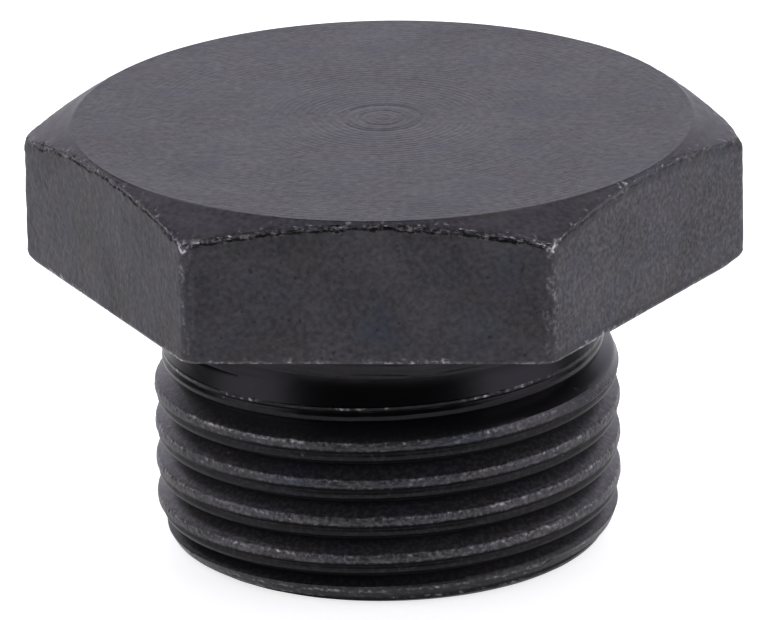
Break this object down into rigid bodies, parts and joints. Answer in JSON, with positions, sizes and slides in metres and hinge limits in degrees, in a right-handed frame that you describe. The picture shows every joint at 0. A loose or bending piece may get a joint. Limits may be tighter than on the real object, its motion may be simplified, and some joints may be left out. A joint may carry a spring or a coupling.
{
  "type": "hex head screw plug",
  "caption": "Solid steel screw plug: chamfered hexagon head, plain undercut neck and a short fine right-hand thread with a rounded end.",
  "frame": {"origin": "centre of the plane end face of the thread, the face the plug stands on", "axes": "+Z along the thread's axis towards the head, +X through two corners of the hexagon, -Y and +Y square to two of its flats"},
  "size_m": [0.0274, 0.0238, 0.0165],
  "materials": {
    "black_steel": "black oxide on turned and drawn steel, dull and lightly oiled"
  },
  "bodies": {
    "root": {"screw_plug": "black_steel"}
  },
  "joints": []
}
